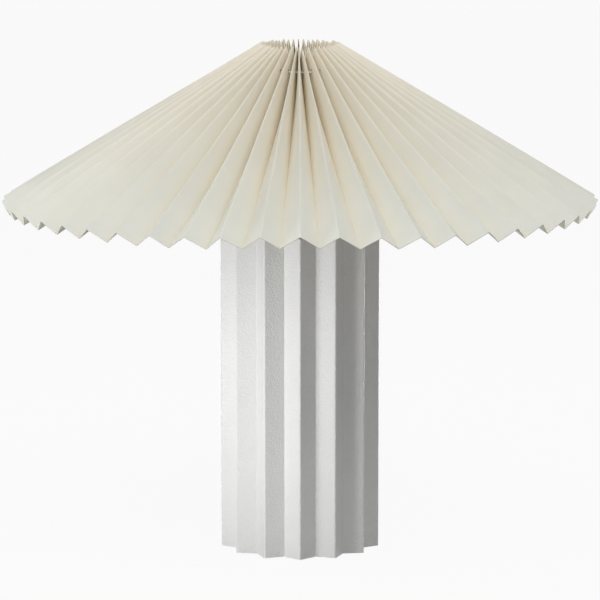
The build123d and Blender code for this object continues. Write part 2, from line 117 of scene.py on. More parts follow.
class HolderSettings(bpy.types.PropertyGroup):
    """Details of the lampholder, its two rings and the wire carrier."""

    wall: length("Wall", "Of the barrel and of the cap", 0.0022)
    floor: length("Floor", "Of the cap", 0.0025)
    collar_radius: length("Collar radius", "Outside of the threaded collar", 0.0085)
    collar_height: length("Collar height", "From the underside of the cap", 0.012)
    thread_pitch: length("Thread pitch", "Of the barrel's outer thread", 0.0022)
    thread_depth: length("Thread depth", "Of the barrel's outer thread", 0.0006)
    plain_barrel: length("Plain barrel", "Below the outer thread", 0.006)
    lip_radius: length("Lip radius", "Inside of the barrel's lip", 0.01405)
    lip: length("Lip height", "Of the barrel's lip", 0.0025)
    ledge_radius: length("Ledge radius", "Inside of the ledge on the block", 0.0151)
    ledge: length("Ledge height", "Of the ledge on the block", 0.002)
    ring_gap: length("Ring gap", "Between the thread and the two rings", 0.0001)
    ring_flange: length("Ring flange", "Thickness of a ring's flange", 0.0018)
    ring_skirt: length("Ring skirt radius", "Outside of a ring's skirt", 0.023)
    flute_depth: length("Flute depth", "Of the grip flutes", 0.0004)
    plain_edge: length("Plain edge", "Above the flutes of the cap", 0.002)
    cap_bevel: length("Cap bevel", "Of the cap's sharp edges", 0.0002)
    ring_bevel: length("Ring bevel", "Of the rings' sharp edges", 0.00025)
    hub_bevel: length("Hub bevel", "Of the carrier's flat hub", 0.0003)
    hub_radius: length("Hub radius", "Of the carrier's flat hub", 0.031)
    arms: IntProperty(name="Arms", description="Bent arms of the carrier", default=3, min=2)
    arm_wire: length("Arm wire radius", "Of the carrier's arms", 0.0015)
    arm_bend: length("Arm bend", "Radius of the arms' bend", 0.008)
    seat_wire: length("Seat wire radius", "Of the ring under the folds", 0.00175)
    seat_distance: length("Seat distance", "Down the slope, where the ring takes its tilt", 0.0256)


class BulbSettings(bpy.types.PropertyGroup):
    """Details of the bulb with its 27 mm screw cap."""

    glass_wall: length("Glass wall", "Of the envelope", 0.0008)
    neck_radius: length("Neck radius", "Of the envelope in the cap", 0.0126)
    neck_rise: length("Neck rise", "Straight glass above the cap", 0.001)
    cap_wall: length("Cap wall", "Of the rolled cap", 0.0004)
    thread_pitch: length("Thread pitch", "Of the screw cap", 0.003629)
    thread_depth: length("Thread depth", "Of the screw cap", 0.0011)
    plain_cap: length("Plain cap", "Unthreaded band round the glass", 0.0055)
    cap_slope: length("Cap slope", "Height of the slope inside the plain band", 0.001)
    edge_height: length("Edge height", "Of the cap's rounded top edge", 0.0003)
    edge_width: length("Edge width", "Of the cap's rounded top edge", 0.0002)
    stem_radius: length("Stem radius", "Above its flared foot", 0.0014)
    stem_flare: length("Stem flare", "Height of the flared foot", 0.022)
    strips: IntProperty(name="Strips", description="Light strips round the stem",
                        default=4, min=1)
    strip_radius: length("Strip radius", "Of a light strip", 0.0009)
    strip_flat: number("Strip flat", "Flat share of a light strip's end", 0.35)


class BaseSettings(bpy.types.PropertyGroup):
    """Details of the rubber parts at the foot."""

    pads: IntProperty(name="Pads", description="Rubber pads under the base", default=4, min=3)
    pad_radius: length("Pad radius", "Of a floor pad", 0.008)
    rounding: length("Rounding", "Of the rubber edges", 0.0006)
    bore: length("Bore radius", "Of the cable outlet", 0.0035)
    neck: length("Neck radius", "Of the grommet in the sheet", 0.0046)
    flange_radius: length("Flange radius", "Of the grommet", 0.0062)
    flange: length("Flange", "Thickness of each grommet flange", 0.0016)
    sheet: length("Sheet", "Thickness of the column's steel", 0.0012)
    outlet_height: length("Outlet height", "Of the grommet's middle", 0.022)
    facet_middle: FloatVectorProperty(name="Facet middle", size=2, unit="LENGTH",
                                      description="Middle of the rear facet, seen from above",
                                      default=(0.00645, 0.06272))
    facet_normal: FloatVectorProperty(name="Facet normal", size=2,
                                      description="Outward normal of the rear facet",
                                      default=(0.69150, 0.72237))


class StageSettings(bpy.types.PropertyGroup):
    """Camera, lamps and floor."""

    camera_distance: length("Camera distance", "In front of the lamp's axis", 2.6)
    camera_height: length("Camera height", "Above the floor", 0.620)
    camera_tilt: number("Camera tilt", "Down from level, in degrees", 8.95)
    lens: number("Lens", "Focal length in millimetres on a 36 mm sensor", 186.6)
    floor_size: length("Floor size", "Side of the pale floor", 40.0)
    floor_gap: length("Floor gap", "Between the pads and the floor", 0.0002)
    floor_colour: colour("Floor colour", "Pale floor", (0.4, 0.4, 0.4))


# Selecting and shaping


def deselect_all():
    bpy.ops.object.select_all(action="DESELECT")


def use_only(piece):
    """Makes one piece the selected and active one."""
    deselect_all()
    piece.select_set(True)
    bpy.context.view_layer.objects.active = piece


def name_piece(piece, name):
    piece.name = name
    piece.data.name = name
    return piece


def apply_modifier(piece, kind, **values):
    """Adds a modifier with these values and applies it."""
    use_only(piece)
    modifier = piece.modifiers.new(kind.title(), kind)
    for key, value in values.items():
        setattr(modifier, key, value)
    bpy.ops.object.modifier_apply(modifier=modifier.name)


def smooth(piece, angle=35.0):
    use_only(piece)
    bpy.ops.object.shade_smooth_by_angle(angle=math.radians(angle))


def put_down(piece):
    """Moves the piece's place into its mesh."""
    use_only(piece)
    bpy.ops.object.transform_apply(location=True, rotation=True, scale=True)


def select_faces(piece, test):
    """In edit mode, selects the faces whose middle and normal pass the test."""
    bpy.ops.mesh.select_mode(type="FACE")
    bpy.ops.mesh.select_all(action="DESELECT")
    mesh = bmesh.from_edit_mesh(piece.data)
    for face in mesh.faces:
        face.select = test(face.calc_center_median(), face.normal)
    bmesh.update_edit_mesh(piece.data)


def polar(radius, angle, height):
    """The point at a radius and an angle in degrees from the front."""
    turn = math.radians(angle)
    return Vector((radius * math.sin(turn), -radius * math.cos(turn), height))


# A thread reaches its full depth after one part in this many of its length.
THREAD_RUN_OUT = 6


class Turning:
    """A round piece about Z, grown from a circle by extruding its open edge."""

    def __init__(self, name, radius, height, sides=64):
        deselect_all()
        bpy.ops.mesh.primitive_circle_add(vertices=sides, radius=radius,
                                          location=(0, 0, height))
        self.piece = name_piece(bpy.context.object, name)
        put_down(self.piece)
        bpy.ops.object.mode_set(mode="EDIT")
        bpy.ops.mesh.select_mode(type="VERT")
        bpy.ops.mesh.select_all(action="SELECT")
        self.radius, self.height, self.centre = radius, height, (0.0, 0.0)

    def to(self, radius, height, centre=(0.0, 0.0)):
        """Extrudes the open edge to a new radius and height."""
        move = (centre[0] - self.centre[0], centre[1] - self.centre[1],
                height - self.height)
        bpy.ops.mesh.extrude_edges_move(TRANSFORM_OT_translate={"value": move})
        ratio = radius / self.radius
        bpy.ops.transform.resize(value=(ratio, ratio, 1.0),
                                 center_override=(centre[0], centre[1], height))
        self.radius, self.height, self.centre = radius, height, centre
        return self

    def through(self, *outline):
        """Extrudes the open edge through several (radius, height) points."""
        for radius, height in outline:
            self.to(radius, height)
        return self

    def thread(self, top, pitch, depth, steps=12):
        """Winds a round right-handed thread up to a height; its ends run out gently."""
        bottom, crest = self.height, self.radius
        count = round((top - bottom) / pitch * steps)
        for step in range(1, count + 1):
            share = step / count
            reach = depth / 2 * min(1.0, THREAD_RUN_OUT * share, THREAD_RUN_OUT * (1 - share))
            turn = 2 * math.pi * share * (top - bottom) / pitch
            self.to(crest - reach, bottom + share * (top - bottom),
                    (reach * math.cos(turn), reach * math.sin(turn)))
        return self

    def point(self):
        """Draws the open edge together at its middle."""
        bpy.ops.mesh.merge(type="CENTER")
        return self

    def finish(self, ring=False, fill=True, wall=0.0, bevel=0.0):
        """Closes the open edges, or gives the open surface a wall, and softens edges."""
        if ring:
            bpy.ops.mesh.select_all(action="DESELECT")
            bpy.ops.mesh.select_mode(type="EDGE")
            bpy.ops.mesh.select_non_manifold(extend=False)
            bpy.ops.mesh.bridge_edge_loops()
        elif fill:
            bpy.ops.mesh.select_all(action="SELECT")
            bpy.ops.mesh.fill_holes(sides=0)
        bpy.ops.mesh.select_all(action="SELECT")
        bpy.ops.mesh.normals_make_consistent(inside=False)
        bpy.ops.object.mode_set(mode="OBJECT")
        if wall:
            apply_modifier(self.piece, "SOLIDIFY", thickness=wall, offset=-1.0)
        if bevel:
            soften(self.piece, bevel)
        smooth(self.piece)
        return self.piece


def soften(piece, width, angle=40.0):
    """Rounds the edges that are sharper than the angle."""
    apply_modifier(piece, "BEVEL", width=width, segments=2, limit_method="ANGLE",
                   angle_limit=math.radians(angle), use_clamp_overlap=True)


def arc(centre, radius, start, end, steps):
    """Points of an arc in the (radius, height) plane, after its first point."""
    turns = [math.radians(start + (end - start) * step / steps)
             for step in range(1, steps + 1)]
    return [(centre[0] + radius * math.cos(turn), centre[1] + radius * math.sin(turn))
            for turn in turns]


def span(node):
    """Outer radius, bottom and top of a round CAD node."""
    low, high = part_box(node)
    return high.x, low.z, high.z


# Sides of a fluted piece, every second one a flute, and the flat edge round each flute.
FLUTED_SIDES = 72
FLUTE_EDGE = 0.0002

# How near to a radius the middle of a side lies, and the slope that an upright side keeps to.
NEAR_RADIUS = 0.0002
UPRIGHT = 0.1


def flute(piece, radius, bottom, top, depth):
    """Sinks every second upright face at that radius and between those heights."""
    use_only(piece)
    bpy.ops.object.mode_set(mode="EDIT")
    sides = 2 * math.pi / FLUTED_SIDES

    def is_flute(middle, normal):
        turn = math.atan2(middle.y, middle.x) % (2 * math.pi)
        return (abs(normal.z) < UPRIGHT and bottom < middle.z < top
                and abs(middle.xy.length - radius) < NEAR_RADIUS
                and normal.xy.dot(middle.xy) > 0 and int(turn / sides) % 2 == 0)

    select_faces(piece, is_flute)
    bpy.ops.mesh.inset(thickness=FLUTE_EDGE, depth=-depth, use_individual=True)
    bpy.ops.object.mode_set(mode="OBJECT")


def copy_of(piece, name):
    """A copy with its own mesh."""
    twin = piece.copy()
    twin.data = piece.data.copy()
    bpy.context.scene.collection.objects.link(twin)
    return name_piece(twin, name)


def turned_copies(piece, count):
    """Joins the piece with copies of it that are spread evenly about Z."""
    pieces = [piece]
    for index in range(1, count):
        twin = copy_of(piece, f"{piece.name}_{index}")
        twin.rotation_euler.z = 2 * math.pi * index / count
        put_down(twin)
        pieces.append(twin)
    return join(pieces, piece.name)


def join(pieces, name):
    deselect_all()
    for piece in pieces:
        piece.select_set(True)
    bpy.context.view_layer.objects.active = pieces[0]
    bpy.ops.object.join()
    return name_piece(pieces[0], name)


def drill(piece, radius, start, end):
    """Cuts a round hole between two points."""
    along = end - start
    bpy.ops.mesh.primitive_cylinder_add(vertices=24, radius=radius, depth=along.length,
                                        location=(start + end) / 2,
                                        rotation=along.to_track_quat("Z", "Y").to_euler())
    cut_with(piece, bpy.context.object)


def cut_with(piece, cutter):
    put_down(cutter)
    apply_modifier(piece, "BOOLEAN", object=cutter, operation="DIFFERENCE", solver="EXACT")
    bpy.data.objects.remove(cutter)


# Finishes: shared node groups


def socket_kind(value):
    if isinstance(value, (int, float)):
        return "NodeSocketFloat"
    return "NodeSocketColor" if len(value) == 4 else "NodeSocketVector"


def new_group(name, inputs, outputs):
    """An empty node group with its sockets, and its input and output nodes."""
    group = bpy.data.node_groups.new(name, "ShaderNodeTree")
    for key, value in inputs.items():
        made = group.interface.new_socket(name=key, in_out="INPUT",
                                          socket_type=socket_kind(value))
        made.default_value = value
    for key, kind in outputs.items():
        group.interface.new_socket(name=key, in_out="OUTPUT", socket_type=kind)
    return group, group.nodes.new("NodeGroupInput"), group.nodes.new("NodeGroupOutput")


def math_node(tree, operation, first, second, third=0.0, clamp=False):
    """A Math node; each input is a socket or a number."""
    node = tree.nodes.new("ShaderNodeMath")
    node.operation, node.use_clamp = operation, clamp
    for index, source in enumerate((first, second, third)):
        if isinstance(source, (int, float)):
            node.inputs[index].default_value = source
        else:
            tree.links.new(source, node.inputs[index])
    return node.outputs[0]


def mix_colours(tree, factor, first, second):
    """A Mix node for colours; each input is a socket."""
    node = tree.nodes.new("ShaderNodeMix")
    node.data_type = "RGBA"
    for name, source in zip(("Factor_Float", "A_Color", "B_Color"), (factor, first, second)):
        wanted = next(s for s in node.inputs if s.identifier == name)
        tree.links.new(source, wanted)
    return next(s for s in node.outputs if s.identifier == "Result_Color")


def noise_in(group, given, detail):
    """A noise of the group's scale in the piece's own space, and a mask with more contrast."""
    place = group.nodes.new("ShaderNodeTexCoord")
    noise = group.nodes.new("ShaderNodeTexNoise")
    noise.inputs["Detail"].default_value = detail
    group.links.new(place.outputs["Object"], noise.inputs["Vector"])
    group.links.new(given.outputs["Scale"], noise.inputs["Scale"])
    centred = math_node(group, "SUBTRACT", noise.outputs["Fac"], 0.5)
    stretched = math_node(group, "MULTIPLY", centred, given.outputs["Contrast"])
    return noise, math_node(group, "ADD", stretched, 0.5, clamp=True)


def grain_group():
    """Fine grains: a height for a bump and a mask with more contrast."""
    group, given, out = new_group("Surface grain", {"Scale": 800.0, "Contrast": 2.0},
                                  {"Height": "NodeSocketFloat", "Mask": "NodeSocketFloat"})
    noise, mask = noise_in(group, given, 2.0)
    noise.inputs["Roughness"].default_value = 0.55
    group.links.new(noise.outputs["Fac"], out.inputs["Height"])
    group.links.new(mask, out.inputs["Mask"])
    return group


def tint_group():
    """Two colours mixed in soft clouds."""
    group, given, out = new_group(
        "Cloudy tint",
        {"Colour": (0.8, 0.8, 0.8, 1.0), "Second Colour": (0.7, 0.7, 0.7, 1.0),
         "Scale": 20.0, "Contrast": 2.5},
        {"Colour": "NodeSocketColor", "Mask": "NodeSocketFloat"})
    _, mask = noise_in(group, given, 4.0)
    mixed = mix_colours(group, mask, given.outputs["Colour"], given.outputs["Second Colour"])
    group.links.new(mixed, out.inputs["Colour"])
    group.links.new(mask, out.inputs["Mask"])
    return group


def brushing_group():
    """Fine parallel lines across one axis, for drawn, turned and plated metal."""
    group, given, out = new_group(
        "Drawn lines", {"Scale": 400.0, "Stretch": (0.04, 0.04, 1.0)},
        {"Height": "NodeSocketFloat"})
    place = group.nodes.new("ShaderNodeTexCoord")
    stretch = group.nodes.new("ShaderNodeVectorMath")
    stretch.operation = "MULTIPLY"
    noise = group.nodes.new("ShaderNodeTexNoise")
    noise.inputs["Detail"].default_value = 3.0
    group.links.new(place.outputs["Object"], stretch.inputs[0])
    group.links.new(given.outputs["Stretch"], stretch.inputs[1])
    group.links.new(stretch.outputs["Vector"], noise.inputs["Vector"])
    group.links.new(given.outputs["Scale"], noise.inputs["Scale"])
    group.links.new(noise.outputs["Fac"], out.inputs["Height"])
    return group


GROUP_MAKERS = {"Surface grain": grain_group, "Cloudy tint": tint_group,
                "Drawn lines": brushing_group}


def place_group(material, name, **values):
    """Puts a shared group into a material with its own values, and makes it once."""
    node = material.node_tree.nodes.new("ShaderNodeGroup")
    node.node_tree = bpy.data.node_groups.get(name) or GROUP_MAKERS[name]()
    for key, value in values.items():
        node.inputs[key.replace("_", " ")].default_value = value
    return node


# Finishes: one function for each


def start_finish(name):
    """A new material, its shader and its tree."""
    material = bpy.data.materials.new(name)
    material.use_nodes = True
    return material, material.node_tree.nodes["Principled BSDF"], material.node_tree


def shade_of(rgb, factor):
    return tuple(min(1.0, part * factor) for part in rgb) + (1.0,)


def add_tint(material, shader, rgb, change, scale):
    """Soft clouds between a colour and the same colour made darker or lighter."""
    tint = place_group(material, "Cloudy tint", Colour=shade_of(rgb, 1.0),
                       Second_Colour=shade_of(rgb, change), Scale=scale)
    material.node_tree.links.new(tint.outputs["Colour"], shader.inputs["Base Color"])
    return tint


def vary_roughness(material, shader, source, low, high):
    """Roughness between two values, by a mask."""
    spread = material.node_tree.nodes.new("ShaderNodeMapRange")
    spread.inputs["To Min"].default_value = low
    spread.inputs["To Max"].default_value = high
    material.node_tree.links.new(source, spread.inputs["Value"])
    material.node_tree.links.new(spread.outputs["Result"], shader.inputs["Roughness"])


def add_bump(material, shader, source, height, below=None):
    """A bump of that height in metres, on top of another bump if one is given."""
    bump = material.node_tree.nodes.new("ShaderNodeBump")
    bump.inputs["Distance"].default_value = height
    material.node_tree.links.new(source, bump.inputs["Height"])
    if below:
        material.node_tree.links.new(below.outputs["Normal"], bump.inputs["Normal"])
    material.node_tree.links.new(bump.outputs["Normal"], shader.inputs["Normal"])
    return bump


def moulded(name, rgb, roughness, grain_scale, grain_height):
    """Moulded plastic, rubber or ceramic with a fine grain."""
    material, shader, _ = start_finish(name)
    tint = add_tint(material, shader, rgb, 0.93, 35.0)
    grain = place_group(material, "Surface grain", Scale=grain_scale)
    vary_roughness(material, shader, tint.outputs["Mask"], roughness - 0.05, roughness + 0.07)
    add_bump(material, shader, grain.outputs["Height"], grain_height)
    return material


def metal(name, rgb, roughness, lines_scale, stretch):
    """Bare or plated metal with drawn or turned lines."""
    material, shader, _ = start_finish(name)
    shader.inputs["Metallic"].default_value = 1.0
    add_tint(material, shader, rgb, 0.86, 60.0)
    lines = place_group(material, "Drawn lines", Scale=lines_scale, Stretch=stretch)
    vary_roughness(material, shader, lines.outputs["Height"], roughness - 0.1,
                   roughness + 0.12)
    add_bump(material, shader, lines.outputs["Height"], 0.00004)
    return material


def powder_coat(name, rgb, grain_scale, grain_height):
    """White powder coat with a fine sand texture."""
    material, shader, _ = start_finish(name)
    shader.inputs["Specular IOR Level"].default_value = 0.4
    shader.inputs["Coat Weight"].default_value = 0.2
    shader.inputs["Coat Roughness"].default_value = 0.3
    add_tint(material, shader, rgb, 0.965, 14.0)
    coarse = place_group(material, "Surface grain", Scale=grain_scale, Contrast=3.0)
    fine = place_group(material, "Surface grain", Scale=grain_scale * 2.7, Contrast=2.0)
    vary_roughness(material, shader, coarse.outputs["Mask"], 0.42, 0.60)
    below = add_bump(material, shader, fine.outputs["Height"], grain_height * 0.5)
    add_bump(material, shader, coarse.outputs["Mask"], grain_height, below)
    return material


def painted_fold_shade(tree, to_valley, up_slope, narrowness, at_mouth, at_rim):
    """How much painted shade shows on the way to a valley: more towards the mouth."""
    reach = math_node(tree, "POWER", to_valley, narrowness)
    strength = math_node(tree, "MULTIPLY_ADD", up_slope, at_mouth, at_rim)
    return math_node(tree, "MULTIPLY", reach, strength)


def laminate(name, rim_rgb, mouth_painted_light_rgb, painted_shade_rgb):
    """Laminated shade paper with fibres, painted lighter and warmer towards the mouth and with
    painted brown shade in the folds.
    """
    material, shader, tree = start_finish(name)
    shader.inputs["Specular IOR Level"].default_value = 0.2
    shader.inputs["Subsurface Weight"].default_value = 0.2
    shader.inputs["Subsurface Radius"].default_value = (1.0, 0.7, 0.4)
    shader.inputs["Subsurface Scale"].default_value = 0.003
    rim, mouth = (place_group(material, "Cloudy tint", Colour=shade_of(rgb, 1.0),
                              Second_Colour=shade_of(rgb, 0.965), Scale=22.0)
                  for rgb in (rim_rgb, mouth_painted_light_rgb))
    strip = tree.nodes.new("ShaderNodeUVMap")
    strip.uv_map = "Strip"
    parts = tree.nodes.new("ShaderNodeSeparateXYZ")
    tree.links.new(strip.outputs["UV"], parts.inputs[0])
    # Painted light: the paper turns lighter and warmer up the slope towards the mouth.
    up_slope = math_node(tree, "POWER", parts.outputs["Y"], 1.3, clamp=True)
    face = mix_colours(tree, up_slope, rim.outputs["Colour"], mouth.outputs["Colour"])
    to_valley = math_node(tree, "PINGPONG", parts.outputs["X"], 1.0)
    # Painted shade in each valley: a broad band and a narrow dark line at the crease, both
    # stronger towards the mouth.
    broad = painted_fold_shade(tree, to_valley, up_slope, 2.4, 0.42, 0.15)
    narrow = painted_fold_shade(tree, to_valley, up_slope, 40.0, 0.5, 0.12)
    fold = tree.nodes.new("ShaderNodeRGB")
    fold.outputs[0].default_value = shade_of(painted_shade_rgb, 1.0)
    mixed = mix_colours(tree, math_node(tree, "ADD", broad, narrow), face, fold.outputs[0])
    tree.links.new(mixed, shader.inputs["Base Color"])
    vary_roughness(material, shader, rim.outputs["Mask"], 0.55, 0.7)
    fibres = place_group(material, "Drawn lines", Scale=260.0, Stretch=(1.0, 1.0, 0.25))
    grain = place_group(material, "Surface grain", Scale=1500.0, Contrast=2.0)
    below = add_bump(material, shader, fibres.outputs["Height"], 0.00006)
    add_bump(material, shader, grain.outputs["Height"], 0.00003, below)
    return material


def yarn(name, rgb):
    """Twisted cotton yarn."""
    material, shader, _ = start_finish(name)
    shader.inputs["Sheen Weight"].default_value = 0.4
    tint = add_tint(material, shader, rgb, 0.8, 900.0)
    grain = place_group(material, "Surface grain", Scale=6000.0)
    vary_roughness(material, shader, tint.outputs["Mask"], 0.75, 0.92)
    add_bump(material, shader, grain.outputs["Height"], 0.00005)
    return material


def glass(name, rgb, roughness):
    """Clear glass with the slight waves of a blown or pressed piece."""
    material, shader, _ = start_finish(name)
    shader.inputs["Transmission Weight"].default_value = 1.0
    shader.inputs["IOR"].default_value = 1.5
    add_tint(material, shader, rgb, 0.985, 30.0)
    waves = place_group(material, "Surface grain", Scale=45.0, Contrast=1.0)
    vary_roughness(material, shader, waves.outputs["Mask"], 0.0, roughness)
    add_bump(material, shader, waves.outputs["Height"], 0.0001)
    return material


def finish_for(slot):
    """The material for one of the record's slots, made on first use."""
    name = slot + "_finish"
    if name in bpy.data.materials:
        return bpy.data.materials[name]
    shade = bpy.context.scene.lamp_shade
    makers = {
        "column_powder": lambda: powder_coat(name, (0.75, 0.75, 0.745), 750.0, 0.00024),
        "carrier_paint": lambda: powder_coat(name, (0.80, 0.80, 0.79), 1500.0, 0.00004),
        "zinc_steel": lambda: metal(name, (0.56, 0.57, 0.58), 0.38, 500.0, (1.0, 0.1, 1.0)),
        "contact_brass": lambda: metal(name, (0.72, 0.52, 0.22), 0.30, 900.0, (0.2, 0.2, 1.0)),
        "cap_metal": lambda: metal(name, (0.66, 0.66, 0.67), 0.28, 900.0, (0.2, 0.2, 1.0)),
        "cast_ballast": lambda: moulded(name, (0.03, 0.03, 0.032), 0.55, 500.0, 0.0003),
        "pad_rubber": lambda: moulded(name, (0.02, 0.02, 0.02), 0.75, 1400.0, 0.00006),
        "grommet_rubber": lambda: moulded(name, (0.66, 0.66, 0.64), 0.7, 1400.0, 0.00005),
        "holder_plastic": lambda: moulded(name, (0.74, 0.74, 0.72), 0.38, 1200.0, 0.00002),
        "block_ceramic": lambda: moulded(name, (0.66, 0.62, 0.52), 0.45, 900.0, 0.00005),
        "cap_insulator": lambda: moulded(name, (0.012, 0.012, 0.016), 0.15, 700.0, 0.00002),
        "strip_phosphor": lambda: moulded(name, (0.82, 0.52, 0.06), 0.5, 2500.0, 0.00005),
        "shade_laminate": lambda: laminate(name, tuple(shade.paper_colour),
                                           tuple(shade.mouth_colour_painted_light),
                                           tuple(shade.fold_painted_shade_colour)),
        "cord_yarn": lambda: yarn(name, tuple(shade.cord_colour)),
        "bulb_glass": lambda: glass(name, (0.985, 0.99, 0.985), 0.02),
        "stem_glass": lambda: glass(name, (0.95, 0.97, 0.95), 0.06),
    }
    return makers[slot]()


def dress(piece, body, slot, *nodes):
    """Gives a new piece the finish of its slot, puts it on its body, and hides the nodes it stands
    for.
    """
    piece.data.materials.clear()
    piece.data.materials.append(finish_for(slot))
    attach(piece, body)
    if nodes:
        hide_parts(*nodes)
    return piece


def dress_node(name):
    """Gives a CAD node the finish of the slot that the record names for it."""
    node = frame["nodes"][name]
    node.data.materials.clear()
    node.data.materials.append(finish_for(NODE_SLOTS[name]))


# Shade

# The pleats that the tied cord pulls aside at the mouth: how far each line at the front
# moves, counted in half pleats from the front, and how far all lines at the back move.
FRONT_GATHER = {-4: 0.0013, -3: 0.0013, -2: 0.0012, -1: 0.0002, 0: -0.0010, 1: -0.0020,
                2: -0.0028, 3: -0.0020, 4: -0.0014}
REAR_GATHER = 0.0013
REAR_ANGLE = 150.0

# How far down the slope the gathering is felt.
GATHER_REACH = 0.12

# Cuts of the flat strip before it is folded, and the reach within which points are welded.
FACET_CUTS = 8
SLOPE_CUTS = 25
WELD = 0.00002

PUNCH_LENGTH = 0.002

# Steps of the search for a facet's lean, each of which halves the error.
HALVINGS = 40


class PleatedStrip:
    """Where each point of the flat strip goes once it is folded and closed to a cone."""

    def __init__(self, shade):
        self.shade = shade
        self.step = 180.0 / shade.pleats
        self.out = (RIM_RADIUS - shade.mouth_radius) / shade.strip_width
        self.down = -math.sqrt(1 - self.out ** 2)
        draw = random.Random(7)
        self.jitter = [draw.gauss(0.0, shade.unevenness) for _ in range(2 * shade.pleats)]
        self.tips = [draw.gauss(0.0, shade.tip_spread) for _ in range(shade.pleats)]
        self.leans = {}

    def under_ridge(self, distance, depth):
        """Radius and height of a point down the slope and a depth under a ridge."""
        radius = self.shade.mouth_radius + distance * self.out + depth * self.down
        return radius, MOUTH_HEIGHT + distance * self.down - depth * self.out

    def half_pitch(self, distance):
        radius = self.shade.mouth_radius + distance * self.out
        return radius * math.sin(math.pi / self.shade.pleats)

    def lean(self, distance):
        """A facet's angle from the depth direction that keeps the facet's true width."""
        key = round(distance, 7)
        if key not in self.leans:
            target, bend = self.half_pitch(distance), self.shade.fold_radius
            low, high = 0.0, math.pi / 2
            for _ in range(HALVINGS):
                angle = (low + high) / 2
                flat = self.shade.facet_width - 2 * bend * (math.pi / 2 - angle)
                reach = flat * math.sin(angle) + 2 * bend * math.cos(angle)
                low, high = (angle, high) if reach < target else (low, angle)
            self.leans[key] = (low + high) / 2
        return self.leans[key]

    def section(self, along, distance):
        """Share of the half pitch and depth, at a length along a facet from its ridge."""
        bend, width = self.shade.fold_radius, self.shade.facet_width
        lean = self.lean(distance)
        turn = math.pi / 2 - lean
        arc = bend * turn
        flat = width - 2 * arc
        half = flat * math.sin(lean) + 2 * bend * math.cos(lean)
        deep = flat * math.cos(lean) + 2 * bend * (1 - math.sin(lean))
        from_fold = along > width / 2
        near = width - along if from_fold else along
        if near < arc:
            side, depth = bend * math.sin(near / bend), bend * (1 - math.cos(near / bend))
        else:
            side = bend * math.cos(lean) + (near - arc) * math.sin(lean)
            depth = bend * (1 - math.sin(lean)) + (near - arc) * math.cos(lean)
        if from_fold:
            side, depth = half - side, deep - depth
        return side / half, depth

    def line_angle(self, line, distance):
        """The angle of a fold line; even lines are ridges."""
        lines = 2 * self.shade.pleats
        angle = (180.0 + line * self.step) % 360.0
        front = angle if angle <= 180.0 else angle - 360.0
        sine = math.sin(math.radians(front))
        angle += self.shade.left_lean * (abs(sine) - sine)
        push = FRONT_GATHER.get(round(front / self.step), 0.0)
        if abs(front) > REAR_ANGLE:
            push = REAR_GATHER
        radius = self.shade.mouth_radius + distance * self.out
        angle += math.degrees(push * self.nearness(distance) / radius)
        return angle + self.jitter[line % lines] * min(1.0, distance / GATHER_REACH)

    def nearness(self, distance):
        """From 1 at the mouth to 0 where the gathering isn't felt any more."""
        return max(0.0, 1 - distance / GATHER_REACH) ** 2

    def rise(self, angle, distance):
        """How far the strip stands above an even cone: drawn up, tilted, raised in front."""
        shade, share = self.shade, distance / self.shade.strip_width
        front = (angle + 180.0) % 360.0 - 180.0
        back = -math.cos(math.radians(front))
        mouth = shade.mouth_lift + shade.mouth_tilt * back
        rim = shade.rim_lift + shade.rim_tilt * back
        blend = math.sin(math.pi / 2 * share)
        raised = shade.front_lift * math.exp(-(front / shade.lift_spread) ** 2)
        return mouth * (1 - blend) + rim * blend + raised * share ** 2

    def place(self, lines_along, distance):
        """The point of the folded strip, a number of lines along and down the slope."""
        line = math.floor(lines_along)
        share = lines_along - line
        ridge = line if line % 2 == 0 else line + 1
        fold = line + 1 if line % 2 == 0 else line
        share = share if line % 2 == 0 else 1 - share
        across, depth = self.section(share * self.shade.facet_width, distance)
        radius, height = self.under_ridge(distance, self.shade.paper / 2 + depth)
        at_ridge, at_fold = self.line_angle(ridge, distance), self.line_angle(fold, distance)
        gap = (at_fold - at_ridge + 180.0) % 360.0 - 180.0
        angle = at_ridge + across * gap
        tip = self.tips[ridge // 2 % self.shade.pleats] * (1 - across)
        height += self.rise(angle, distance) + tip * self.nearness(distance)
        return polar(radius, angle, height)


def ease_to_folds(lines_along, slack):
    """Draws a place towards the nearer fold; the slack takes up rounding at a fold."""
    line = math.floor(lines_along + slack)
    share = max(0.0, lines_along - line)
    return line + (1 - math.cos(math.pi * share)) / 2


def fold_shade(shade):
    """The flat strip, cut at its true size, then folded and closed at the back."""
    lines = 2 * shade.pleats
    deselect_all()
    bpy.ops.mesh.primitive_grid_add(x_subdivisions=lines * FACET_CUTS,
                                    y_subdivisions=SLOPE_CUTS, size=1.0, calc_uvs=True)
    piece = name_piece(bpy.context.object, "folded_shade")
    strip = PleatedStrip(shade)
    for vertex in piece.data.vertices:
        lines_along = ease_to_folds((vertex.co.x + 0.5) * lines, 1e-4)
        vertex.co = strip.place(lines_along, (0.5 - vertex.co.y) * shade.strip_width)
    uv = piece.data.uv_layers.active
    uv.name = "Strip"
    for corner in uv.data:
        corner.uv[0] = ease_to_folds(corner.uv[0] * lines, 1e-3)
    use_only(piece)
    bpy.ops.object.mode_set(mode="EDIT")
    bpy.ops.mesh.select_all(action="SELECT")
    bpy.ops.mesh.remove_doubles(threshold=WELD)
    bpy.ops.mesh.normals_make_consistent(inside=False)
    bpy.ops.object.mode_set(mode="OBJECT")
    apply_modifier(piece, "SOLIDIFY", thickness=shade.paper, offset=0.0)
    return piece, strip


def cord_holes(shade, strip):
    """Each hole's centre and the direction that the cord takes through it."""
    share = shade.cord_depth / shade.facet_width
    places = []
    for facet in range(2 * shade.pleats):
        along = facet + (share if facet % 2 == 0 else 1 - share)
        centre = strip.place(along, shade.cord_distance)
        ahead = Vector((-centre.y, centre.x, 0.0)).normalized()
        places.append((centre, ahead))
    return places


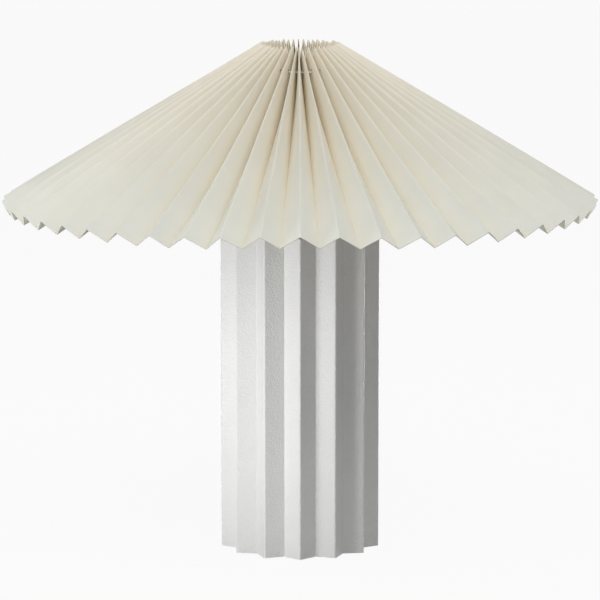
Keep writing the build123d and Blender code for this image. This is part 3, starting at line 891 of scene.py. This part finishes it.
def punch_holes(piece, shade, strip):
    """Cuts a round hole in each facet with one set of short punches."""
    punches = []
    for centre, ahead in cord_holes(shade, strip):
        turn = ahead.to_track_quat("Z", "Y").to_euler()
        bpy.ops.mesh.primitive_cylinder_add(vertices=16, radius=shade.punch_radius,
                                            depth=PUNCH_LENGTH, location=centre,
                                            rotation=turn)
        punches.append(bpy.context.object)
    deselect_all()
    for punch in punches:
        punch.select_set(True)
    bpy.context.view_layer.objects.active = punches[0]
    bpy.ops.object.join()
    cut_with(piece, bpy.context.object)


class LAMP_OT_shade(bpy.types.Operator):
    """Fold the strip of laminated paper and punch the holes for its cord"""

    bl_idname = "table_lamp.shade"
    bl_label = "Pleated shade"

    def execute(self, context):
        shade = context.scene.lamp_shade
        piece, strip = fold_shade(shade)
        punch_holes(piece, shade, strip)
        smooth(piece, 50.0)
        dress(piece, "shade", "shade_laminate", "pleated_shade")
        return {"FINISHED"}


# Gathering cord


def strand_curve(name, points, radius, closed):
    """A round strand along a list of points, as a curve."""
    curve = bpy.data.curves.new(name, "CURVE")
    curve.dimensions = "3D"
    curve.bevel_depth = radius
    curve.bevel_resolution = 2
    curve.use_fill_caps = not closed
    spline = curve.splines.new("NURBS")
    spline.points.add(len(points) - 1)
    for target, point in zip(spline.points, points):
        target.co = (*point, 1.0)
    spline.use_cyclic_u = closed
    spline.use_endpoint_u = not closed
    spline.order_u = 3
    piece = bpy.data.objects.new(name, curve)
    bpy.context.scene.collection.objects.link(piece)
    return piece


def join_as_mesh(pieces, name):
    """Makes curves and meshes one mesh piece."""
    deselect_all()
    for piece in pieces:
        piece.select_set(True)
    bpy.context.view_layer.objects.active = pieces[0]
    bpy.ops.object.convert(target="MESH")
    bpy.ops.object.join()
    return name_piece(bpy.context.object, name)


# The cord's strands, their radius as a share of the cord's, the length of one turn of the
# lay, the steps in a turn, and the play between the cord and the lower edge of a hole.
CORD_STRANDS = 3
STRAND_SHARE = 0.52
CORD_LAY = 0.0042
LAY_STEPS = 8
CORD_PLAY = 0.0001

# The knot, as shares of its tightened cord's radius, and the length of its two tails.
KNOT_STEPS = 36
KNOT_TIGHTNESS = 0.9
KNOT_REACH = 2.1
KNOT_FLATNESS = 0.75
KNOT_TAIL = 0.011
TAIL_STEPS = 6


def cord_line(shade, strip, angle):
    """Radius and height of the cord at an angle, low in the punched holes."""
    radius, height = strip.under_ridge(shade.cord_distance, shade.cord_depth)
    drop = shade.punch_radius - shade.cord_radius - CORD_PLAY
    return radius, height + strip.rise(angle, shade.cord_distance) - drop


def twisted_loop(shade, strip):
    """Three strands laid round each other along the circle of the punched holes."""
    strand = shade.cord_radius * STRAND_SHARE
    off = shade.cord_radius - strand
    turns = round(2 * math.pi * cord_line(shade, strip, 0.0)[0] / CORD_LAY)
    steps = turns * LAY_STEPS
    pieces = []
    for start in range(CORD_STRANDS):
        points = []
        for step in range(steps):
            turn = 2 * math.pi * (step * turns / steps + start / CORD_STRANDS)
            angle = 360.0 * step / steps
            radius, height = cord_line(shade, strip, angle)
            points.append(polar(radius + off * math.cos(turn), angle,
                                height + off * math.sin(turn)))
        pieces.append(strand_curve(f"strand_{start}", points, strand, True))
    return pieces


def cord_knot(shade, strip):
    """A small overhand knot with two short tails in the rearmost pleat."""
    radius, height = cord_line(shade, strip, 180.0)
    thick = shade.cord_radius * KNOT_TIGHTNESS
    centre = polar(radius, 180.0, height)
    points = []
    for step in range(KNOT_STEPS):
        turn = 2 * math.pi * step / KNOT_STEPS
        swing = KNOT_REACH * thick + thick * math.cos(3 * turn)
        points.append(centre + Vector((thick * KNOT_TIGHTNESS * math.sin(3 * turn),
                                       swing * math.sin(2 * turn) * KNOT_FLATNESS,
                                       swing * math.cos(2 * turn) * KNOT_FLATNESS)))
    pieces = [strand_curve("knot", points, thick * 0.62, True)]
    for side in (-1, 1):
        tail = []
        for step in range(TAIL_STEPS):
            share = step / (TAIL_STEPS - 1)
            tail.append(centre + Vector((side * thick * (1 + 1.2 * share),
                                         -0.2 * KNOT_TAIL * share * (1 - share) * side,
                                         -KNOT_TAIL * share * (0.75 + 0.12 * side))))
        pieces.append(strand_curve(f"tail_{side}", tail, thick * 0.6, False))
    return pieces


class LAMP_OT_cord(bpy.types.Operator):
    """Thread the twisted cord through the punched holes and tie it at the back"""

    bl_idname = "table_lamp.cord"
    bl_label = "Gathering cord"

    def execute(self, context):
        shade = context.scene.lamp_shade
        strip = PleatedStrip(shade)
        pieces = twisted_loop(shade, strip) + cord_knot(shade, strip)
        piece = join_as_mesh(pieces, "twisted_cord")
        put_down(piece)
        smooth(piece, 60.0)
        dress(piece, "shade", "cord_yarn", "gather_cord")
        return {"FINISHED"}


# Lampholder, rings and carrier


def holder_barrel(holder):
    """The barrel with its outer thread, the ledge on the block and the lip."""
    outer, bottom, top = span("holder_body")
    inner = outer - holder.wall
    block_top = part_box("contact_block")[1].z
    turning = Turning("threaded_barrel", inner, bottom, sides=48)
    turning.through((outer, bottom), (outer, bottom + holder.plain_barrel))
    turning.thread(top - holder.thread_depth, holder.thread_pitch, holder.thread_depth, 8)
    turning.through((outer - holder.thread_depth, top), (holder.lip_radius, top),
                    (holder.lip_radius, top - holder.lip), (inner, top - holder.lip),
                    (inner, block_top + holder.ledge),
                    (holder.ledge_radius, block_top + holder.ledge),
                    (holder.ledge_radius, block_top), (inner, block_top))
    return turning.finish(ring=True)


def holder_cup(holder):
    """The fluted cap with a collar in its floor and a side hole for the lock screw."""
    outer, bottom, top = span("holder_cap")
    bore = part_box("holder_nipple")[1].x
    inner, collar = outer - holder.wall, bottom + holder.collar_height
    turning = Turning("fluted_cap", bore, bottom, sides=FLUTED_SIDES)
    turning.through((outer - holder.wall, bottom), (outer, bottom + holder.wall),
                    (outer, top - holder.plain_edge), (outer, top), (inner, top),
                    (inner, bottom + holder.floor),
                    (holder.collar_radius, bottom + holder.floor),
                    (holder.collar_radius, collar), (bore, collar))
    piece = turning.finish(ring=True)
    flute(piece, outer, bottom + holder.wall, top - holder.plain_edge, holder.flute_depth)
    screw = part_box("holder_lock_screw")
    height, radius = (screw[0].z + screw[1].z) / 2, (screw[1].z - screw[0].z) / 2
    drill(piece, radius, Vector((screw[0].x, 0.0, height)), Vector((2 * outer, 0.0, height)))
    soften(piece, holder.cap_bevel, 60.0)
    smooth(piece)
    return piece


def shade_rings(holder):
    """The lower ring, and its copy turned over for the upper one."""
    flange, bottom, top = span("lower_shade_ring")
    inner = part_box("holder_body")[1].x + holder.ring_gap
    under = top - holder.ring_flange
    turning = Turning("fluted_ring_lower", inner, bottom, sides=FLUTED_SIDES)
    turning.through((holder.ring_skirt, bottom), (holder.ring_skirt, under),
                    (flange, under), (flange, top), (inner, top))
    lower = turning.finish(ring=True)
    flute(lower, holder.ring_skirt, bottom, under, holder.flute_depth)
    soften(lower, holder.ring_bevel, 60.0)
    smooth(lower)
    upper = copy_of(lower, "fluted_ring_upper")
    use_only(upper)
    middle = (top + span("upper_shade_ring")[1]) / 2
    bpy.ops.transform.rotate(value=math.pi, orient_axis="X",
                             center_override=(0.0, 0.0, middle))
    put_down(upper)
    return lower, upper


BEND_STEPS = 8


def carrier_arm(holder, seat_radius, hub_middle, seat_height):
    """The rear arm: a wire that runs out along the hub, bends and rises to the seat."""
    start = holder.hub_radius - 2 * holder.arm_wire
    deselect_all()
    bpy.ops.mesh.primitive_circle_add(vertices=12, radius=holder.arm_wire,
                                      location=(0.0, start, hub_middle),
                                      rotation=(math.pi / 2, 0.0, 0.0))
    arm = name_piece(bpy.context.object, "carrier_arm")
    put_down(arm)
    bpy.ops.object.mode_set(mode="EDIT")
    bpy.ops.mesh.select_all(action="SELECT")
    out = seat_radius - holder.arm_bend - start
    bpy.ops.mesh.extrude_edges_move(TRANSFORM_OT_translate={"value": (0.0, out, 0.0)})
    bend_middle = (0.0, seat_radius - holder.arm_bend, hub_middle + holder.arm_bend)
    for _ in range(BEND_STEPS):
        bpy.ops.mesh.extrude_edges_move(TRANSFORM_OT_translate={"value": (0.0, 0.0, 0.0)})
        bpy.ops.transform.rotate(value=math.pi / 2 / BEND_STEPS, orient_axis="X",
                                 center_override=bend_middle)
    rise = seat_height - hub_middle - holder.arm_bend
    bpy.ops.mesh.extrude_edges_move(TRANSFORM_OT_translate={"value": (0.0, 0.0, rise)})
    bpy.ops.mesh.select_all(action="SELECT")
    bpy.ops.mesh.fill_holes(sides=0)
    bpy.ops.mesh.normals_make_consistent(inside=False)
    bpy.ops.object.mode_set(mode="OBJECT")
    return turned_copies(arm, holder.arms)


def wire_carrier(holder, strip):
    """The flat hub, the bent arms and the round seat, which has the shade's slight tilt."""
    outer, _, top = span("shade_carrier")
    hub_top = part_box("upper_shade_ring")[0].z
    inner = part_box("holder_body")[1].x + holder.ring_gap
    seat_radius = outer - holder.seat_wire
    seat_height = top - holder.seat_wire
    hub_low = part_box("lower_shade_ring")[1].z
    turning = Turning("wire_carrier", inner, hub_low, sides=96)
    turning.through((holder.hub_radius, hub_low), (holder.hub_radius, hub_top),
                    (inner, hub_top))
    hub = turning.finish(ring=True, bevel=holder.hub_bevel)
    arms = carrier_arm(holder, seat_radius, (hub_low + hub_top) / 2, seat_height)
    bpy.ops.mesh.primitive_torus_add(major_radius=seat_radius, minor_radius=holder.seat_wire,
                                     major_segments=120, minor_segments=14,
                                     location=(0.0, 0.0, seat_height))
    seat = bpy.context.object
    put_down(seat)
    piece = join([hub, arms, seat], "wire_carrier")
    for vertex in piece.data.vertices:
        share = (vertex.co.z - hub_top) / (seat_height - hub_top)
        angle = math.degrees(math.atan2(vertex.co.x, -vertex.co.y))
        share = max(0.0, min(1.0, share))
        vertex.co.z += share * strip.rise(angle, holder.seat_distance)
    smooth(piece)
    return piece


class LAMP_OT_holder(bpy.types.Operator):
    """Turn the lampholder's cap and barrel and the two rings that clamp the carrier"""

    bl_idname = "table_lamp.holder"
    bl_label = "Lampholder and rings"

    def execute(self, context):
        holder = context.scene.lamp_holder
        dress(holder_barrel(holder), "lamp_base", "holder_plastic", "holder_body")
        dress(holder_cup(holder), "lamp_base", "holder_plastic", "holder_cap")
        lower, upper = shade_rings(holder)
        dress(lower, "lamp_base", "holder_plastic", "lower_shade_ring")
        dress(upper, "lamp_base", "holder_plastic", "upper_shade_ring")
        return {"FINISHED"}


class LAMP_OT_carrier(bpy.types.Operator):
    """Bend and weld the wire carrier that the shade rests on"""

    bl_idname = "table_lamp.carrier"
    bl_label = "Wire carrier"

    def execute(self, context):
        strip = PleatedStrip(context.scene.lamp_shade)
        piece = wire_carrier(context.scene.lamp_holder, strip)
        dress(piece, "lamp_base", "carrier_paint", "shade_carrier")
        return {"FINISHED"}


# Bulb


def blown_envelope(bulb):
    """A straight neck, a hollow shoulder and a round top, with an even wall."""
    radius, bottom, top = span("bulb_glass")
    crown, neck = top - radius, bulb.neck_radius
    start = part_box("bulb_cap")[1].z + bulb.neck_rise
    rise = crown - start
    hollow = (rise ** 2 + neck ** 2 - radius ** 2) / (2 * (radius - neck))
    join_angle = math.degrees(math.atan2(rise, neck + hollow))
    turning = Turning("blown_envelope", neck, bottom, sides=64)
    turning.through((neck, start), *arc((neck + hollow, start), hollow, 180.0,
                                        180.0 - join_angle, 9))
    turning.through(*arc((0.0, crown), radius, -join_angle, 89.0, 20))
    return turning.point().finish(fill=False, wall=bulb.glass_wall)


def screw_cap(bulb):
    """The rolled thread, with a plain band above it and a turned-in lower edge."""
    radius, bottom, top = span("bulb_cap")
    root = radius - bulb.thread_depth
    inner = bulb.neck_radius + (radius - bulb.cap_wall - bulb.neck_radius) / 2
    turning = Turning("rolled_cap", root - bulb.cap_wall, bottom, sides=64)
    turning.through((root, bottom), (radius, bottom + bulb.thread_pitch / 2))
    turning.thread(top - bulb.plain_cap, bulb.thread_pitch, bulb.thread_depth)
    turning.through((radius, top - bulb.edge_height), (radius - bulb.edge_width, top),
                    (inner, top), (inner, top - bulb.plain_cap + bulb.cap_slope),
                    (root - bulb.cap_wall, top - bulb.plain_cap))
    return turning.finish(ring=True)


FLARE_STEPS = 12
FLARE_CURVE = 2.2


def stem_mount(bulb):
    """The glass mount: a flared foot that runs out into a thin rod with a bead on top."""
    foot, bottom, top = span("bulb_stem")
    turning = Turning("stem_mount", foot, bottom, sides=32)
    for step in range(1, FLARE_STEPS + 1):
        share = step / FLARE_STEPS
        radius = bulb.stem_radius + (foot - bulb.stem_radius) * (1 - share) ** FLARE_CURVE
        turning.to(radius, bottom + share * bulb.stem_flare)
    bead = bulb.stem_radius
    turning.to(bead, top - bead)
    turning.through(*arc((0.0, top - bead), bead, 0.0, 80.0, 5))
    return turning.finish()


def light_strips(bulb):
    """Upright strips with rounded ends, spread evenly round the stem."""
    low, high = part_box("bulb_light_strips")
    reach = high.x - bulb.strip_radius
    flat = bulb.strip_radius * bulb.strip_flat
    edge = bulb.strip_radius - flat
    turning = Turning("light_strips", flat, low.z, sides=16)
    turning.through(*arc((flat, low.z + edge), edge, -90.0, 0.0, 3))
    turning.through(*arc((flat, high.z - edge), edge, -5.0, 90.0, 4))
    strip = turning.finish()
    strip.location = (reach, reach, 0.0)
    put_down(strip)
    piece = turned_copies(strip, bulb.strips)
    smooth(piece)
    return piece


class LAMP_OT_bulb(bpy.types.Operator):
    """Blow the bulb, roll its screw cap and mount the light strips"""

    bl_idname = "table_lamp.bulb"
    bl_label = "Bulb"

    def execute(self, context):
        bulb = context.scene.lamp_bulb
        dress(blown_envelope(bulb), "bulb", "bulb_glass", "bulb_glass")
        dress(screw_cap(bulb), "bulb", "cap_metal", "bulb_cap")
        dress(stem_mount(bulb), "bulb", "stem_glass", "bulb_stem")
        dress(light_strips(bulb), "bulb", "strip_phosphor", "bulb_light_strips")
        return {"FINISHED"}


# Rubber parts at the foot


def floor_pads(base):
    """Round rubber pads with softened edges, one under each corner of the base."""
    low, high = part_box("foot_pads")
    turning = Turning("rubber_pads", base.pad_radius - base.rounding, low.z, sides=40)
    turning.through(*arc((base.pad_radius - base.rounding, low.z + base.rounding),
                         base.rounding, -90.0, 0.0, 4))
    turning.to(base.pad_radius, high.z)
    pad = turning.finish()
    reach = high.x - base.pad_radius
    pad.location = (reach, reach, 0.0)
    put_down(pad)
    piece = turned_copies(pad, base.pads)
    smooth(piece)
    return piece


def cable_bush(base):
    """The grommet, turned along Z and then set in the rear facet."""
    inner, outer = -base.sheet - base.flange, base.flange
    turning = Turning("moulded_grommet", base.bore, inner, sides=48)
    turning.through((base.flange_radius, inner), (base.flange_radius, -base.sheet),
                    (base.neck, -base.sheet), (base.neck, 0.0), (base.flange_radius, 0.0),
                    (base.flange_radius - base.flange / 2, outer), (base.bore, outer))
    piece = turning.finish(ring=True, bevel=base.rounding / 2)
    normal = Vector((*base.facet_normal, 0.0))
    piece.rotation_mode = "QUATERNION"
    piece.rotation_quaternion = normal.to_track_quat("Z", "Y")
    piece.location = (*base.facet_middle, base.outlet_height)
    put_down(piece)
    return piece


class LAMP_OT_rubber(bpy.types.Operator):
    """Mould the floor pads and the grommet of the cable outlet"""

    bl_idname = "table_lamp.rubber"
    bl_label = "Pads and grommet"

    def execute(self, context):
        base = context.scene.lamp_base
        dress(floor_pads(base), "lamp_base", "pad_rubber", "foot_pads")
        dress(cable_bush(base), "lamp_base", "grommet_rubber", "cable_grommet")
        return {"FINISHED"}


# The nodes that keep their own shape


class LAMP_OT_hardware(bpy.types.Operator):
    """Give every CAD node that is still shown the finish of its slot"""

    bl_idname = "table_lamp.hardware"
    bl_label = "Finishes of the metal and moulded parts"

    def execute(self, context):
        for name, node in frame["nodes"].items():
            if not node.hide_render:
                dress_node(name)
        return {"FINISHED"}


# Stage

# The share of white in the floor as the camera sees it, and the world's light on the lamp.
FLOOR_GLOW = 0.94
WORLD_LIGHT = 0.36

# Each lamp's place, width, height and power. The high ones light the shade and are open,
# the low ones have a grid that narrows their light to the column.
HIGH_LAMPS = {"top_lamp": ((-0.05, -1.1, 2.3), 3.4, 1.6, 40.5),
              "left_lamp": ((-1.8, -0.6, 2.3), 1.2, 1.0, 3.0),
              "right_lamp": ((1.8, -0.6, 2.3), 1.2, 1.0, 5.0)}
LOW_LAMPS = {"low_front_lamp": ((-0.475, -0.455, 0.08), 0.26, 0.14, 0.37),
             "low_rear_lamp": ((0.46, 0.47, 0.08), 0.20, 0.14, 0.26)}
GRID_SPREAD = 60.0


def background_rays(tree):
    """A value of 1 for the rays that see the background: camera, mirror and glass rays."""
    path = tree.nodes.new("ShaderNodeLightPath")
    seen = math_node(tree, "ADD", path.outputs["Is Camera Ray"],
                     path.outputs["Is Glossy Ray"])
    return math_node(tree, "ADD", seen, path.outputs["Is Transmission Ray"], clamp=True)


def join_shaders(tree, share, first, second):
    """A Mix Shader node; the share is a socket."""
    mix = tree.nodes.new("ShaderNodeMixShader")
    tree.links.new(share, mix.inputs[0])
    tree.links.new(first.outputs[0], mix.inputs[1])
    tree.links.new(second.outputs[0], mix.inputs[2])
    return mix


def pale_floor(stage):
    """A floor that is white to the camera, keeps shadows and is clear from underneath."""
    deselect_all()
    bpy.ops.mesh.primitive_plane_add(size=stage.floor_size,
                                     location=(0.0, 0.0, -stage.floor_gap))
    floor = name_piece(bpy.context.object, "floor")
    material, shader, tree = start_finish("pale_floor")
    shader.inputs["Base Color"].default_value = (*stage.floor_colour, 1.0)
    shader.inputs["Roughness"].default_value = 0.9
    shader.inputs["Specular IOR Level"].default_value = 0.0
    glow = tree.nodes.new("ShaderNodeEmission")
    glow.inputs["Strength"].default_value = 1.0
    share = math_node(tree, "MULTIPLY", background_rays(tree), FLOOR_GLOW)
    top = join_shaders(tree, share, shader, glow)
    side = tree.nodes.new("ShaderNodeNewGeometry")
    clear = tree.nodes.new("ShaderNodeBsdfTransparent")
    whole = join_shaders(tree, side.outputs["Backfacing"], top, clear)
    tree.links.new(whole.outputs[0], tree.nodes["Material Output"].inputs["Surface"])
    floor.data.materials.append(material)


def soft_lamp(name, target, spread, place, width, height, power):
    """A rectangular lamp that faces a target point, with a grid if its spread is narrow."""
    deselect_all()
    bpy.ops.object.light_add(type="AREA", location=place)
    lamp = bpy.context.object
    lamp.name = name
    lamp.data.shape = "RECTANGLE"
    lamp.data.size, lamp.data.size_y = width, height
    lamp.data.energy = power
    lamp.data.spread = math.radians(spread)
    lamp.rotation_mode = "QUATERNION"
    lamp.rotation_quaternion = (Vector(target) - Vector(place)).to_track_quat("-Z", "Y")
    lamp.visible_camera = False


def studio_world():
    """White where it is seen, and a softer light on the lamp."""
    world = bpy.data.worlds.new("studio")
    bpy.context.scene.world = world
    world.use_nodes = True
    tree = world.node_tree
    background = tree.nodes["Background"]
    background.inputs["Color"].default_value = (1.0, 1.0, 1.0, 1.0)
    extra = math_node(tree, "MULTIPLY", background_rays(tree), 1.0 - WORLD_LIGHT)
    strength = math_node(tree, "ADD", extra, WORLD_LIGHT)
    tree.links.new(strength, background.inputs["Strength"])


class LAMP_OT_stage(bpy.types.Operator):
    """Set up the floor, the soft lamps and the camera"""

    bl_idname = "table_lamp.stage"
    bl_label = "Stage, lamps and camera"

    def execute(self, context):
        stage = context.scene.lamp_stage
        pale_floor(stage)
        studio_world()
        middle = (0.0, 0.0, COLUMN_TOP)
        waist = (0.0, 0.0, 0.6 * COLUMN_TOP)
        for name, values in HIGH_LAMPS.items():
            soft_lamp(name, middle, 180.0, *values)
        for name, values in LOW_LAMPS.items():
            soft_lamp(name, waist, GRID_SPREAD, *values)
        bpy.ops.object.camera_add(
            location=(0.0, -stage.camera_distance, stage.camera_height),
            rotation=(math.radians(90.0 - stage.camera_tilt), 0.0, 0.0))
        camera = context.object
        camera.data.lens = stage.lens
        camera.data.sensor_width = 36.0
        camera.data.clip_end = 100.0
        context.scene.camera = camera
        context.scene.view_settings.view_transform = "Standard"
        return {"FINISHED"}


class LAMP_PT_panel(bpy.types.Panel):
    """Lists the pieces of the lamp"""

    bl_idname = "LAMP_PT_panel"
    bl_label = "Table lamp"
    bl_space_type = "VIEW_3D"
    bl_region_type = "UI"
    bl_category = "Table lamp"

    def draw(self, context):
        for operator in OPERATORS:
            self.layout.operator(operator.bl_idname)
        for key, kind in SETTINGS.items():
            box = self.layout.box()
            for name in kind.__annotations__:
                box.prop(getattr(context.scene, key), name)


OPERATORS = (LAMP_OT_shade, LAMP_OT_cord, LAMP_OT_carrier, LAMP_OT_holder, LAMP_OT_bulb,
             LAMP_OT_rubber, LAMP_OT_hardware, LAMP_OT_stage)
SETTINGS = {"lamp_shade": ShadeSettings, "lamp_holder": HolderSettings,
            "lamp_bulb": BulbSettings, "lamp_base": BaseSettings,
            "lamp_stage": StageSettings}
CLASSES = (*SETTINGS.values(), *OPERATORS, LAMP_PT_panel)


def register():
    for item in CLASSES:
        bpy.utils.register_class(item)
    for key, kind in SETTINGS.items():
        setattr(bpy.types.Scene, key, PointerProperty(type=kind))


def unregister():
    for key in SETTINGS:
        delattr(bpy.types.Scene, key)
    for item in reversed(CLASSES):
        bpy.utils.unregister_class(item)


def main():
    register()
    bpy.ops.table_lamp.shade()
    bpy.ops.table_lamp.cord()
    bpy.ops.table_lamp.carrier()
    bpy.ops.table_lamp.holder()
    bpy.ops.table_lamp.bulb()
    bpy.ops.table_lamp.rubber()
    bpy.ops.table_lamp.hardware()
    bpy.ops.table_lamp.stage()


if __name__ == "__main__":
    main()
